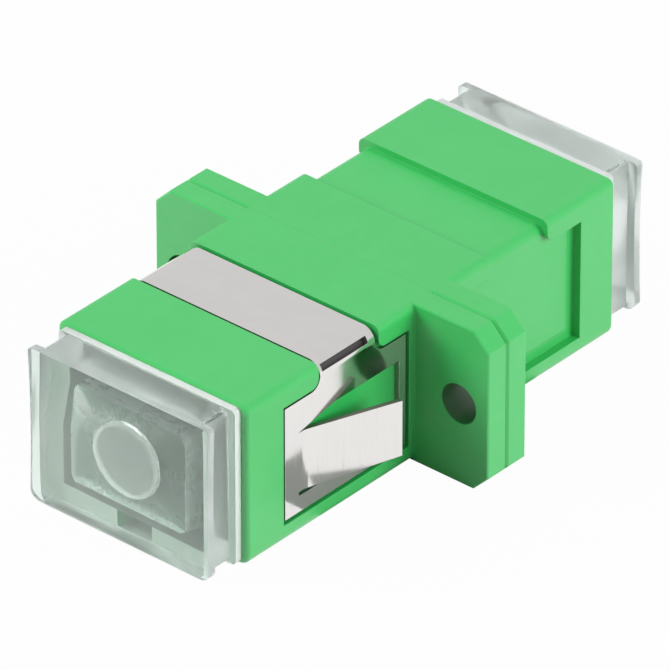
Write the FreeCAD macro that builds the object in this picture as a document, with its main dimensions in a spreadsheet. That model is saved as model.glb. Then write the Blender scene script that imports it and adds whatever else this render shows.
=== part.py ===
import FreeCAD, Part
import os
import re
import Sketcher
from FreeCAD import Placement, Rotation, Vector
from math import atan2, hypot, pi, sqrt, tan

# An SC fibre adapter with a screw flange, a panel clip and a dust cap in each port.
# The optical axis is Y, the front port opens towards -Y, the keyways are underneath and +Z is up.
# The origin lies on the optical axis in the joint between the two housing halves.

SIZES = (
    ("body_width", 12.7, "outside width of the housing"),
    ("body_height", 9.5, "outside height of the housing and of the flange"),
    ("body_reach", 14.3, "from the joint to the mouth of a port"),
    ("top_edge_radius", 0.45, "rounding of the long upper edges"),
    ("bottom_edge_radius", 0.7, "rounding of the long lower edges"),
    ("end_edge_radius", 0.2, "rounding round the end face"),
    ("flange_width", 22.4, "across both ears"),
    ("flange_thickness", 1.48, "one half's share of the flange"),
    ("flange_corner", 1.0, "chamfer on the corners of the ears"),
    ("ear_edge_radius", 0.12, "rounding round the outer face of the ears"),
    ("parting_groove", 0.15, "chamfer on each half along the joint"),
    ("screw_margin", 1.95, "from the edge of an ear to the middle of its screw hole"),
    ("screw_hole", 2.3, "diameter of a screw hole"),
    ("port_width", 9.05, "plug opening, wide way"),
    ("port_height", 7.45, "plug opening, narrow way"),
    ("port_lead_in", 0.25, "chamfer at the mouth of a port"),
    ("keyway_width", 2.2, "slot for the key of the plug"),
    ("keyway_length", 6.0, "from the mouth inwards"),
    ("recess_land", 2.7, "side face left between the mouth and the clip recess"),
    ("recess_root", 0.45, "side face left between the recess and the flange"),
    ("recess_top_margin", 1.3, "side face left above the recess"),
    ("recess_bottom_margin", 1.15, "side face left below the recess"),
    ("clip_sink", 0.08, "from the side face to the clip's wings"),
    ("groove_depth", 0.15, "relief groove, below the seat of the clip"),
    ("groove_width", 0.7, "relief groove round the seat of the clip"),
    ("band_sink", 0.08, "from the top face to the clip's band"),
    ("band_rear", 4.5, "from the joint to the rear edge of the clip's band"),
    ("band_width", 4.2, "along the optical axis"),
    ("recess_corner", 0.5, "rounding where the band's recess meets the side recess"),
    ("clip_thickness", 0.3, "sheet of the panel clip"),
    ("clip_bend", 0.5, "inside radius of the clip's bends"),
    ("bend_clearance", 0.05, "extra rounding of the housing under the bends"),
    ("clip_gap", 0.2, "between the clip's edges and its recess"),
    ("clip_front_strip", 1.05, "frame strip that carries the tongue"),
    ("clip_rear_strip", 0.5, "frame strip next to the flange"),
    ("clip_bottom_strip", 0.95, "lower frame strip"),
    ("window_top", 1.9, "upper edge of the clip's window, above the axis"),
    ("window_shoulder", 2.7, "sloped part of the window's upper edge"),
    ("tongue_top", 1.35, "upper edge of the tongue at its root, above the axis"),
    ("tongue_taper", 0.25, "drop of the tongue's upper edge along its length"),
    ("tongue_slit", 0.25, "gap under the tongue"),
    ("tongue_length", 5.95, "root to tip along the optical axis"),
    ("tongue_flare", 1.75, "how far the tip stands out of its frame"),
    ("tongue_knee", 0.45, "flat stretch of the tongue before it bends out"),
    ("tongue_bend", 1.2, "inside radius of the tongue's bend"),
    ("bend_slot_width", 0.4, "relief slot along each bend"),
    ("bend_slot_angle", 31.0, "degrees from level to the middle of the slot, round the bend"),
    ("bend_slot_front", 0.2, "from the band's front edge to the slot"),
    ("bend_slot_rear", 0.5, "from the slot to the band's rear edge"),
    ("holder_side_ledge", 0.57, "how far a holder's plate reaches behind the port's side walls"),
    ("holder_top_ledge", 0.37, "how far it reaches behind the upper and lower walls"),
    ("holder_thickness", 1.3, "plate of a latch holder"),
    ("holder_play", 0.05, "between a holder's plate and its seat"),
    ("holder_corner", 0.4, "rounding of the plate's corners"),
    ("barrel_wall", 0.75, "round the sleeve's chamber"),
    ("barrel_lip", 0.6, "end wall that keeps the sleeve in"),
    ("barrel_end_chamfer", 0.3, "outside of the barrel's end"),
    ("sleeve_length", 11.4, "split sleeve"),
    ("sleeve_bore", 2.5, "inside of the split sleeve, for the ferrules"),
    ("sleeve_wall", 0.35, "wall of the split sleeve"),
    ("sleeve_slit", 0.5, "slit along the sleeve"),
    ("sleeve_chamfer", 0.1, "both ends of the sleeve"),
    ("sleeve_play", 0.05, "round the sleeve in its barrel"),
    ("sleeve_end_play", 0.1, "between each end of the sleeve and its barrel"),
    ("ferrule_clearance", 0.18, "round a ferrule in the barrel's end wall"),
    ("ferrule_lead_in", 0.2, "chamfer on the ferrule hole"),
    ("hook_clearance", 0.22, "from a latch arm to the port's side wall"),
    ("hook_thickness", 0.85, "a latch arm, across"),
    ("hook_height", 2.6, "a latch arm, up and down"),
    ("hook_reach", 8.4, "from the joint to the tip of a latch arm"),
    ("hook_bite", 0.55, "how far a latch head stands inwards"),
    ("hook_head", 1.1, "length of a latch head"),
    ("hook_land", 0.3, "flat on top of a latch head"),
    ("hook_nose", 0.8, "how far the latch head's bevel leads back, across"),
    ("hook_tip_radius", 0.25, "rounding of the arm's outer corner"),
    ("cap_fit", 0.04, "round the cap's plug in its port"),
    ("cap_wall", 0.8, "wall of the cap's hollow plug"),
    ("cap_hook_gap", 0.9, "between the plug and the tips of the latch arms"),
    ("cap_plug_chamfer", 0.3, "leading edges of the plug"),
    ("cap_side_inset", 0.45, "cap's collar inside the housing's outline, left and right"),
    ("cap_top_inset", 0.15, "cap's collar inside the housing's outline, top and bottom"),
    ("cap_collar", 0.45, "thickness of the collar on the port's mouth"),
    ("cap_neck", 1.7, "from the collar to the front plate"),
    ("cap_neck_inset", 0.45, "neck inside the collar's outline, left and right"),
    ("cap_step", 0.075, "neck and front plate inside the collar's outline, top and bottom"),
    ("cap_plate", 0.45, "thickness of the front plate"),
    ("cap_plate_side", 0.6, "how far the front plate stands out of the neck, left and right"),
    ("cap_waist", 0.12, "hollow of the front plate's side edges"),
    ("cap_upper_corner", 0.3, "rounding of the front plate's upper corners"),
    ("cap_lower_corner", 0.65, "rounding of the front plate's lower corners"),
    ("collar_corner", 0.3, "rounding of the collar's corners"),
    ("neck_corner", 0.3, "rounding of the neck's corners"),
    ("hollow_corner", 0.4, "rounding of the hollow's corners"),
    ("cap_head", 1.6, "solid head in front of the cap's hollow"),
    ("cap_eye_diameter", 4.2, "round recess in the end of the hollow"),
    ("cap_eye_depth", 0.45, "round recess in the end of the hollow"),
)

# Places that several pieces share, worked out from the sizes above.
DERIVED = (
    ("half_width", "body_width / 2"),
    ("half_height", "body_height / 2"),
    ("screw_x", "flange_width / 2 - screw_margin"),
    ("recess_front_y", "recess_land - body_reach"),
    ("recess_rear_y", "-flange_thickness - recess_root"),
    ("recess_top_z", "half_height - recess_top_margin"),
    ("recess_bottom_z", "recess_bottom_margin - half_height"),
    ("seat_x", "half_width - clip_sink - clip_thickness"),
    ("seat_z", "half_height - band_sink - clip_thickness"),
    ("band_front_y", "-band_rear - band_width"),
    ("clip_front_y", "recess_front_y + clip_gap"),
    ("clip_rear_y", "recess_rear_y - clip_gap"),
    ("clip_bottom_z", "recess_bottom_z + clip_gap"),
    ("window_front_y", "clip_front_y + clip_front_strip"),
    ("window_rear_y", "clip_rear_y - clip_rear_strip"),
    ("window_bottom_z", "clip_bottom_z + clip_bottom_strip"),
    ("holder_width", "port_width + 2 * holder_side_ledge"),
    ("holder_height", "port_height + 2 * holder_top_ledge"),
    ("sleeve_diameter", "sleeve_bore + 2 * sleeve_wall"),
    ("sleeve_room", "sleeve_length / 2 + sleeve_end_play"),
    ("chamber_diameter", "sleeve_diameter + 2 * sleeve_play"),
    ("barrel_diameter", "chamber_diameter + 2 * barrel_wall"),
    ("barrel_reach", "sleeve_room + barrel_lip"),
    ("ferrule_hole", "sleeve_bore + 2 * ferrule_clearance"),
    ("hook_outside", "port_width / 2 - hook_clearance"),
    ("hook_inside", "hook_outside - hook_thickness"),
    ("cap_plug_length", "body_reach - hook_reach - cap_hook_gap"),
    ("collar_width", "body_width - 2 * cap_side_inset"),
    ("collar_height", "body_height - 2 * cap_top_inset"),
    ("neck_width", "collar_width - 2 * cap_neck_inset"),
    ("neck_height", "collar_height - 2 * cap_step"),
    ("cap_plate_width", "neck_width + 2 * cap_plate_side"),
    ("cap_reach", "body_reach + cap_collar + cap_neck + cap_plate"),
    ("cap_hollow_depth", "cap_reach - cap_head - body_reach + cap_plug_length"),
)

SHEET = "Sizes"
UPWARDS = Vector(0, 0, 1)
TOLERANCE = 1e-4


def fill_sheet(document):
    """Write the driving sizes, then the shared places as formulas on them."""
    sheet = document.addObject("Spreadsheet::Sheet", SHEET)
    for row, (name, size, note) in enumerate(SIZES, start=1):
        sheet.set(f"A{row}", name)
        sheet.set(f"B{row}", str(size))
        sheet.set(f"C{row}", note)
        sheet.setAlias(f"B{row}", name)
    for row, (name, formula) in enumerate(DERIVED, start=len(SIZES) + 1):
        sheet.set(f"A{row}", name)
        sheet.set(f"B{row}", "=" + formula)
        sheet.setAlias(f"B{row}", name)
    document.recompute()
    return sheet


NAMES = {entry[0] for entry in SIZES + DERIVED}


def linked(formula):
    """Point every size named in a formula at its cell in the sheet."""
    return re.sub(r"[a-z_]+", lambda word: f"{SHEET}.{word[0]}" if word[0] in NAMES else word[0], formula)


class Drawing:
    """A sketch whose every point and radius is bound to the sheet."""

    def __init__(self, sketch, sheet):
        self.sketch = sketch
        self.sheet = sheet

    def value(self, formula):
        return float(self.sheet.evalExpression(linked(formula)))

    def bind(self, kind, *references, formula):
        datum = self.value(formula)
        index = self.sketch.addConstraint(Sketcher.Constraint(kind, *references, datum))
        self.sketch.setExpression(f"Constraints[{index}]", linked(formula))

    def place(self, geometry, point, across, up):
        """Fix a point by its distances from the sketch's origin."""
        self.bind("DistanceX", -1, 1, geometry, point, formula=across)
        self.bind("DistanceY", -1, 1, geometry, point, formula=up)

    def circle(self, across, up, diameter):
        centre = Vector(self.value(across), self.value(up), 0)
        ring = self.sketch.addGeometry(Part.Circle(centre, UPWARDS, self.value(diameter) / 2))
        self.place(ring, 3, across, up)
        self.bind("Radius", ring, formula=f"({diameter}) / 2")

    def outline(self, *corners):
        """Close an outline through (across, up) corners; a third entry rounds that corner."""
        points = [Vector(self.value(corner[0]), self.value(corner[1]), 0) for corner in corners]
        radii = [self.value(corner[2]) if len(corner) > 2 else 0.0 for corner in corners]
        leaves = []
        arcs = []
        for index, (point, radius) in enumerate(zip(points, radii)):
            inward = (point - points[index - 1]).normalize()
            outward = (points[(index + 1) % len(points)] - point).normalize()
            turn = atan2(inward.x * outward.y - inward.y * outward.x, inward.dot(outward))
            trim = radius * tan(abs(turn) / 2)
            enter = point - inward * trim
            leave = point + outward * trim
            leaves.append((enter, leave))
            arcs.append((enter, leave, radius, turn, inward) if radius else None)
        lines = []
        for index, (_, leave) in enumerate(leaves):
            arrive = leaves[(index + 1) % len(leaves)][0]
            lines.append(self.sketch.addGeometry(Part.LineSegment(leave, arrive)))
        for index, corner in enumerate(corners):
            self.join(lines[index - 1], lines[index], corner, points[index], arcs[index])

    def join(self, before, after, corner, point, arc):
        """Join two lines at a corner, sharp or through a tangent arc."""
        if arc is None:
            self.sketch.addConstraint(Sketcher.Constraint("Coincident", before, 2, after, 1))
            self.place(after, 1, corner[0], corner[1])
            return
        enter, leave, radius, turn, inward = arc
        side = 1 if turn > 0 else -1
        centre = enter + Vector(-inward.y, inward.x, 0) * radius * side
        first, last = (enter, leave) if turn > 0 else (leave, enter)
        start = atan2(first.y - centre.y, first.x - centre.x)
        end = atan2(last.y - centre.y, last.x - centre.x)
        bend = self.sketch.addGeometry(Part.ArcOfCircle(Part.Circle(centre, UPWARDS, radius), start, end))
        entry, exit_end = (1, 2) if turn > 0 else (2, 1)
        self.sketch.addConstraint(Sketcher.Constraint("Tangent", before, 2, bend, entry))
        self.sketch.addConstraint(Sketcher.Constraint("Tangent", bend, exit_end, after, 1))
        self.bind("Radius", bend, formula=corner[2])
        apex = self.sketch.addGeometry(Part.Point(point), True)
        self.sketch.addConstraint(Sketcher.Constraint("PointOnObject", apex, 1, before))
        self.sketch.addConstraint(Sketcher.Constraint("PointOnObject", apex, 1, after))
        self.place(apex, 1, corner[0], corner[1])

    def rectangle(self, left, bottom, right, top, *radius):
        self.outline(
            (left, bottom, *radius),
            (right, bottom, *radius),
            (right, top, *radius),
            (left, top, *radius),
        )

    def waisted_rectangle(self, width, height, waist):
        """Close a rectangle whose two upright sides are hollowed by shallow arcs."""
        half_width = self.value(width) / 2
        half_height = self.value(height) / 2
        radius_formula = f"(({height}) ^ 2 / 4 + {waist} ^ 2) / (2 * {waist})"
        radius = self.value(radius_formula)
        middle = radius + half_width - self.value(waist)
        sweep = atan2(half_height, sqrt(radius**2 - half_height**2))
        low = self.sketch.addGeometry(
            Part.LineSegment(Vector(-half_width, -half_height, 0), Vector(half_width, -half_height, 0))
        )
        high = self.sketch.addGeometry(
            Part.LineSegment(Vector(half_width, half_height, 0), Vector(-half_width, half_height, 0))
        )
        right = self.sketch.addGeometry(
            Part.ArcOfCircle(Part.Circle(Vector(middle, 0, 0), UPWARDS, radius), pi - sweep, pi + sweep)
        )
        left = self.sketch.addGeometry(
            Part.ArcOfCircle(Part.Circle(Vector(-middle, 0, 0), UPWARDS, radius), -sweep, sweep)
        )
        for first, first_end, second, second_end in (
            (low, 2, right, 2),
            (right, 1, high, 1),
            (high, 2, left, 2),
            (left, 1, low, 1),
        ):
            self.sketch.addConstraint(Sketcher.Constraint("Coincident", first, first_end, second, second_end))
        self.place(low, 1, f"-({width}) / 2", f"-({height}) / 2")
        self.place(low, 2, f"({width}) / 2", f"-({height}) / 2")
        self.place(high, 1, f"({width}) / 2", f"({height}) / 2")
        self.place(high, 2, f"-({width}) / 2", f"({height}) / 2")
        self.bind("Radius", right, formula=radius_formula)
        self.bind("Radius", left, formula=radius_formula)

    def centred_rectangle(self, width, height, *radius):
        self.rectangle(f"-({width}) / 2", f"-({height}) / 2", f"({width}) / 2", f"({height}) / 2", *radius)


class Piece:
    """One real piece as a PartDesign body, built feature by feature."""

    def __init__(self, document, sheet, node):
        self.document = document
        self.sheet = sheet
        self.body = document.addObject("PartDesign::Body", node.title().replace("_", ""))
        self.body.Label = node

    def plane(self, role):
        return next(feature for feature in self.body.Origin.OriginFeatures if feature.Role == role)

    def draw(self, role, offset="0"):
        """Start a sketch parallel to an origin plane, offset along the plane's normal."""
        sketch = self.body.newObject("Sketcher::SketchObject", "Sketch")
        sketch.AttachmentSupport = [(self.plane(role), "")]
        sketch.MapMode = "FlatFace"
        sketch.setExpression("AttachmentOffset.Base.z", linked(offset))
        return Drawing(sketch, self.sheet)

    def feature(self, kind, name, drawing, length, side, reverse):
        feature = self.body.newObject(kind, name)
        feature.Profile = drawing.sketch
        feature.SideType = side
        feature.Reversed = reverse
        if length:
            feature.setExpression("Length", linked(length))
        else:
            feature.Type = "ThroughAll"
        self.document.recompute()
        return feature

    def pad(self, name, drawing, length, side="One side", reverse=False):
        return self.feature("PartDesign::Pad", name, drawing, length, side, reverse)

    def pocket(self, name, drawing, length=None, side="One side", reverse=False):
        before = self.body.Shape.Volume
        feature = self.feature("PartDesign::Pocket", name, drawing, length, side, reverse)
        if self.body.Shape.Volume >= before:
            raise RuntimeError(f"{name} cuts nothing from {self.body.Label}")
        return feature

    def mirror(self, name, originals, role="YZ_Plane"):
        feature = self.body.newObject("PartDesign::Mirrored", name)
        feature.Originals = originals
        feature.MirrorPlane = (self.plane(role), [""])
        self.body.Tip = feature
        self.document.recompute()
        return feature

    def edges(self, wanted):
        """Name the edges whose two ends and middle all satisfy a test."""
        names = []
        for index, edge in enumerate(self.body.Shape.Edges, start=1):
            middle = edge.valueAt((edge.FirstParameter + edge.LastParameter) / 2)
            if all(wanted(point) for point in (edge.Vertexes[0].Point, middle, edge.Vertexes[-1].Point)):
                names.append(f"Edge{index}")
        if not names:
            raise RuntimeError(f"no edge found on {self.body.Label}")
        return names

    def soften(self, kind, name, size, wanted):
        """Fillet or chamfer the wanted edges."""
        base = self.body.Tip
        names = self.edges(wanted)
        feature = self.body.newObject(kind, name)
        feature.Base = (base, names)
        feature.setExpression("Radius" if kind == "PartDesign::Fillet" else "Size", linked(size))
        self.document.recompute()
        return feature

    def fillet(self, name, radius, wanted):
        return self.soften("PartDesign::Fillet", name, radius, wanted)

    def chamfer(self, name, size, wanted):
        return self.soften("PartDesign::Chamfer", name, size, wanted)

    def value(self, formula):
        return float(self.sheet.evalExpression(linked(formula)))

    def turn_round(self):
        """Face the piece towards the rear port."""
        self.body.Placement = Placement(Vector(0, 0, 0), Rotation(UPWARDS, 180))


def near(first, second):
    return abs(first - second) < TOLERANCE


def within(distance, limit):
    return abs(distance) < limit + TOLERANCE


def build_housing(document, sheet, node):
    """One moulded half: port, half a flange and the recess that a panel clip snaps into."""
    piece = Piece(document, sheet, node)
    mouth = -piece.value("body_reach")

    ears = piece.draw("XZ_Plane")
    ears.outline(
        ("flange_corner - flange_width / 2", "-half_height"),
        ("flange_width / 2 - flange_corner", "-half_height"),
        ("flange_width / 2", "flange_corner - half_height"),
        ("flange_width / 2", "half_height - flange_corner"),
        ("flange_width / 2 - flange_corner", "half_height"),
        ("flange_corner - flange_width / 2", "half_height"),
        ("-flange_width / 2", "half_height - flange_corner"),
        ("-flange_width / 2", "flange_corner - half_height"),
    )
    piece.pad("Ears", ears, "flange_thickness")
    ear_face = -piece.value("flange_thickness")
    piece.chamfer("PartingGroove", "parting_groove", lambda point: near(point[1], 0))
    piece.fillet("EarEdges", "ear_edge_radius", lambda point: near(point[1], ear_face))

    block = piece.draw("XZ_Plane")
    block.outline(
        ("-half_width", "-half_height", "bottom_edge_radius"),
        ("half_width", "-half_height", "bottom_edge_radius"),
        ("half_width", "half_height", "top_edge_radius"),
        ("-half_width", "half_height", "top_edge_radius"),
    )
    piece.pad("Block", block, "body_reach")
    piece.fillet("EndEdges", "end_edge_radius", lambda point: near(point[1], mouth))

    screws = piece.draw("XZ_Plane")
    screws.circle("-screw_x", "0", "screw_hole")
    screws.circle("screw_x", "0", "screw_hole")
    piece.pocket("ScrewHoles", screws, reverse=True)

    port = piece.draw("XZ_Plane")
    port.centred_rectangle("port_width", "port_height")
    piece.pocket("Port", port, reverse=True)
    port_side = piece.value("port_width / 2")
    port_top = piece.value("port_height / 2")
    piece.chamfer(
        "PortLeadIn",
        "port_lead_in",
        lambda point: near(point[1], mouth) and within(point[0], port_side) and within(point[2], port_top),
    )

    seat = piece.draw("XZ_Plane")
    seat.centred_rectangle(
        "holder_width + 2 * holder_play",
        "holder_height + 2 * holder_play",
        "holder_corner",
    )
    piece.pocket("HolderSeat", seat, "holder_thickness + holder_play", reverse=True)

    keyway = piece.draw("XY_Plane")
    keyway.rectangle("-keyway_width / 2", "-2 * body_reach", "keyway_width / 2", "keyway_length - body_reach")
    piece.pocket("Keyway", keyway)

    side = piece.draw("YZ_Plane", "seat_x")
    side.outline(
        ("recess_front_y", "recess_bottom_z"),
        ("recess_rear_y", "recess_bottom_z"),
        ("recess_rear_y", "recess_top_z"),
        ("-band_rear + clip_gap", "recess_top_z", "recess_corner"),
        ("-band_rear + clip_gap", "body_height"),
        ("band_front_y - clip_gap", "body_height"),
        ("band_front_y - clip_gap", "recess_top_z", "recess_corner"),
        ("recess_front_y", "recess_top_z"),
    )
    side_recess = piece.pocket("SideRecess", side, reverse=True)
    groove = piece.draw("YZ_Plane", "seat_x - groove_depth")
    groove.outline(
        ("recess_front_y", "recess_bottom_z"),
        ("recess_rear_y", "recess_bottom_z"),
        ("recess_rear_y", "recess_bottom_z + groove_width"),
        ("recess_front_y + groove_width", "recess_bottom_z + groove_width"),
        ("recess_front_y + groove_width", "recess_top_z"),
        ("recess_front_y", "recess_top_z"),
    )
    relief = piece.pocket("ReliefGroove", groove, reverse=True)
    piece.mirror("OtherSide", [side_recess, relief])

    band = piece.draw("YZ_Plane")
    band.rectangle("band_front_y - clip_gap", "seat_z", "-band_rear + clip_gap", "body_height")
    piece.pocket("BandRecess", band, side="Symmetric")
    seat_x = piece.value("seat_x")
    seat_z = piece.value("seat_z")
    piece.fillet(
        "BandSeatEdges",
        "clip_bend + bend_clearance",
        lambda point: near(abs(point[0]), seat_x) and near(point[2], seat_z),
    )
    return piece


def build_latch_holder(document, sheet, node):
    """A plate with half of the sleeve barrel and the two hooks that hold a plug."""
    piece = Piece(document, sheet, node)
    plate = piece.draw("XZ_Plane")
    plate.centred_rectangle("holder_width", "holder_height", "holder_corner")
    piece.pad("Plate", plate, "holder_thickness")

    barrel = piece.draw("XZ_Plane")
    barrel.circle("0", "0", "barrel_diameter")
    piece.pad("Barrel", barrel, "barrel_reach")
    barrel_end = -piece.value("barrel_reach")
    piece.chamfer("BarrelEnd", "barrel_end_chamfer", lambda point: near(point[1], barrel_end))

    arm = piece.draw("XY_Plane")
    arm.outline(
        ("hook_inside", "-holder_thickness / 2"),
        ("hook_inside", "hook_head - hook_reach"),
        ("hook_inside - hook_bite", "hook_head - hook_reach"),
        ("hook_inside - hook_bite", "hook_head - hook_land - hook_reach"),
        ("hook_outside - hook_thickness + hook_nose - hook_bite", "-hook_reach"),
        ("hook_outside", "-hook_reach", "hook_tip_radius"),
        ("hook_outside", "-holder_thickness / 2"),
    )
    hook = piece.pad("Hook", arm, "hook_height", side="Symmetric")
    piece.mirror("OtherHook", [hook])

    chamber = piece.draw("XZ_Plane")
    chamber.circle("0", "0", "chamber_diameter")
    piece.pocket("SleeveChamber", chamber, "sleeve_room", reverse=True)
    ferrule = piece.draw("XZ_Plane")
    ferrule.circle("0", "0", "ferrule_hole")
    piece.pocket("FerruleHole", ferrule, reverse=True)
    hole_radius = piece.value("ferrule_hole / 2")
    piece.chamfer(
        "FerruleLeadIn",
        "ferrule_lead_in",
        lambda point: near(point[1], barrel_end) and within(hypot(point[0], point[2]), hole_radius),
    )
    return piece


def build_split_sleeve(document, sheet, node):
    """The slit ceramic sleeve that lines up the two ferrules."""
    piece = Piece(document, sheet, node)
    ring = piece.draw("XZ_Plane")
    ring.circle("0", "0", "sleeve_diameter")
    ring.circle("0", "0", "sleeve_bore")
    piece.pad("Tube", ring, "sleeve_length", side="Symmetric")
    half_length = piece.value("sleeve_length / 2")
    piece.chamfer("EndChamfers", "sleeve_chamfer", lambda point: near(abs(point[1]), half_length))
    slit = piece.draw("XY_Plane")
    slit.centred_rectangle("sleeve_slit", "2 * sleeve_length")
    piece.pocket("Slit", slit, reverse=True)
    return piece


def bend_point(side, radial, sideways):
    """Place a point by its distances along and across the middle ray of a bend's slot."""
    across = f"seat_x - clip_bend + {radial} * cos(bend_slot_angle) - {sideways} * sin(bend_slot_angle)"
    up = f"seat_z - clip_bend + {radial} * sin(bend_slot_angle) + {sideways} * cos(bend_slot_angle)"
    return f"{side}({across})", up


def build_panel_clip(document, sheet, node):
    """One folded sheet: a band over the top and a framed wing with a sprung tongue on each side."""
    piece = Piece(document, sheet, node)
    fold = piece.draw("XZ_Plane", "-clip_rear_y")
    outer_x = "seat_x + clip_thickness"
    outer_z = "seat_z + clip_thickness"
    outer_bend = "clip_bend + clip_thickness"
    fold.outline(
        (f"-({outer_x})", "clip_bottom_z"),
        ("-seat_x", "clip_bottom_z"),
        ("-seat_x", "seat_z", "clip_bend"),
        ("seat_x", "seat_z", "clip_bend"),
        ("seat_x", "clip_bottom_z"),
        (outer_x, "clip_bottom_z"),
        (outer_x, outer_z, outer_bend),
        (f"-({outer_x})", outer_z, outer_bend),
    )
    piece.pad("FoldedSheet", fold, "clip_rear_y - clip_front_y")

    above = piece.draw("YZ_Plane")
    wing_top = "recess_top_z - clip_gap"
    wing_corner = "recess_corner + clip_gap"
    above.outline(
        ("-body_reach", wing_top),
        ("band_front_y", wing_top, wing_corner),
        ("band_front_y", "body_height"),
        ("-body_reach", "body_height"),
    )
    above.outline(
        ("0", wing_top),
        ("0", "body_height"),
        ("-band_rear", "body_height"),
        ("-band_rear", wing_top, wing_corner),
    )
    piece.pocket("BandEdges", above, side="Symmetric")

    window = piece.draw("YZ_Plane")
    window.outline(
        ("window_front_y", "window_bottom_z"),
        ("window_rear_y", "window_bottom_z"),
        ("window_rear_y", "window_top"),
        ("window_front_y + window_shoulder", "window_top"),
        ("window_front_y", "tongue_top"),
    )
    piece.pocket("Windows", window, side="Symmetric")

    tongue = piece.draw("XY_Plane", "window_bottom_z + tongue_slit")
    tip_y = "window_front_y + tongue_length"
    knee_y = "window_front_y + tongue_knee"
    tongue.outline(
        ("seat_x", "window_front_y"),
        (outer_x, "window_front_y"),
        (outer_x, knee_y, "tongue_bend"),
        (f"{outer_x} + tongue_flare", tip_y),
        ("seat_x + tongue_flare", tip_y),
        ("seat_x", knee_y, "tongue_bend + clip_thickness"),
    )
    right = piece.pad("Tongue", tongue, "tongue_top - window_bottom_z - tongue_slit")
    piece.mirror("OtherTongue", [right])
    taper = piece.draw("YZ_Plane")
    taper.outline(
        ("window_front_y", "tongue_top"),
        (tip_y, "tongue_top - tongue_taper"),
        (tip_y, "tongue_top"),
    )
    piece.pocket("TongueTaper", taper, side="Symmetric")

    slots = piece.draw("XZ_Plane", "band_rear + bend_slot_rear")
    inner = "clip_bend / 2"
    outer = "(clip_bend + 2 * clip_thickness)"
    lower = "-bend_slot_width / 2"
    upper = "bend_slot_width / 2"
    for side in ("", "-"):
        slots.outline(
            bend_point(side, inner, lower),
            bend_point(side, outer, lower),
            bend_point(side, outer, upper),
            bend_point(side, inner, upper),
        )
    piece.pocket("BendSlots", slots, "band_width - bend_slot_rear - bend_slot_front", reverse=True)
    return piece


def build_dust_cap(document, sheet, node):
    """A clear plug cap: hollow plug, collar on the mouth, neck, and front plate."""
    piece = Piece(document, sheet, node)
    collar = piece.draw("XZ_Plane", "body_reach")
    collar.centred_rectangle("collar_width", "collar_height", "collar_corner")
    piece.pad("Collar", collar, "cap_collar")

    neck = piece.draw("XZ_Plane", "body_reach + cap_collar")
    neck.centred_rectangle("neck_width", "neck_height", "neck_corner")
    piece.pad("Neck", neck, "cap_neck")

    plate = piece.draw("XZ_Plane", "body_reach + cap_collar + cap_neck")
    plate.waisted_rectangle("cap_plate_width", "neck_height", "cap_waist")
    piece.pad("Plate", plate, "cap_plate")
    half_plate = piece.value("cap_plate_width / 2")
    half_plate_height = piece.value("neck_height / 2")
    piece.fillet(
        "UpperCorners",
        "cap_upper_corner",
        lambda point: near(abs(point[0]), half_plate) and near(point[2], half_plate_height),
    )
    piece.fillet(
        "LowerCorners",
        "cap_lower_corner",
        lambda point: near(abs(point[0]), half_plate) and near(point[2], -half_plate_height),
    )

    plug = piece.draw("XZ_Plane", "body_reach")
    plug.centred_rectangle("port_width - 2 * cap_fit", "port_height - 2 * cap_fit")
    piece.pad("Plug", plug, "cap_plug_length", reverse=True)
    plug_end = piece.value("cap_plug_length - body_reach")
    piece.chamfer("PlugLeadIn", "cap_plug_chamfer", lambda point: near(point[1], plug_end))

    hollow = piece.draw("XZ_Plane", "body_reach - cap_plug_length")
    hollow.centred_rectangle(
        "port_width - 2 * (cap_fit + cap_wall)",
        "port_height - 2 * (cap_fit + cap_wall)",
        "hollow_corner",
    )
    piece.pocket("PlugHollow", hollow, "cap_hollow_depth", reverse=True)

    eye = piece.draw("XZ_Plane", "cap_reach - cap_head")
    eye.circle("0", "0", "cap_eye_diameter")
    piece.pocket("Eye", eye, "cap_eye_depth", reverse=True)
    return piece


def write_parts(document, pieces):
    """Check every object, then write each piece to its own file."""
    document.recompute()
    for item in document.Objects:
        if "Invalid" in item.State or "Error" in item.State:
            raise RuntimeError(f"{item.Name} did not recompute")
    for piece in pieces:
        shape = piece.body.Shape
        if shape.isNull() or not shape.isValid() or len(shape.Solids) != 1:
            raise RuntimeError(f"{piece.body.Label} is not one sound solid")
    os.makedirs("parts", exist_ok=True)
    for piece in pieces:
        piece.body.Shape.exportStep(f"parts/{piece.body.Label}.step")
        print(f"{piece.body.Label}: {piece.body.Shape.Volume:.1f} mm3")


def main():
    document = FreeCAD.newDocument("sc_fibre_adapter")
    sheet = fill_sheet(document)
    pieces = []
    for build, name in (
        (build_housing, "housing"),
        (build_latch_holder, "latch_holder"),
        (build_dust_cap, "dust_cap"),
    ):
        front = build(document, sheet, f"front_{name}")
        rear = build(document, sheet, f"rear_{name}")
        rear.turn_round()
        pieces += [front, rear]
    pieces.append(build_split_sleeve(document, sheet, "split_sleeve"))
    pieces.append(build_panel_clip(document, sheet, "panel_clip"))
    write_parts(document, pieces)


main()
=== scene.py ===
"""Dress the SC fibre adapter: moulded green housing, sprung steel clip and clear dust caps."""

import logging
import math
from collections.abc import Callable
from dataclasses import dataclass
from enum import Enum
from functools import cache

import bpy
from mathutils import Matrix, Vector


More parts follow.
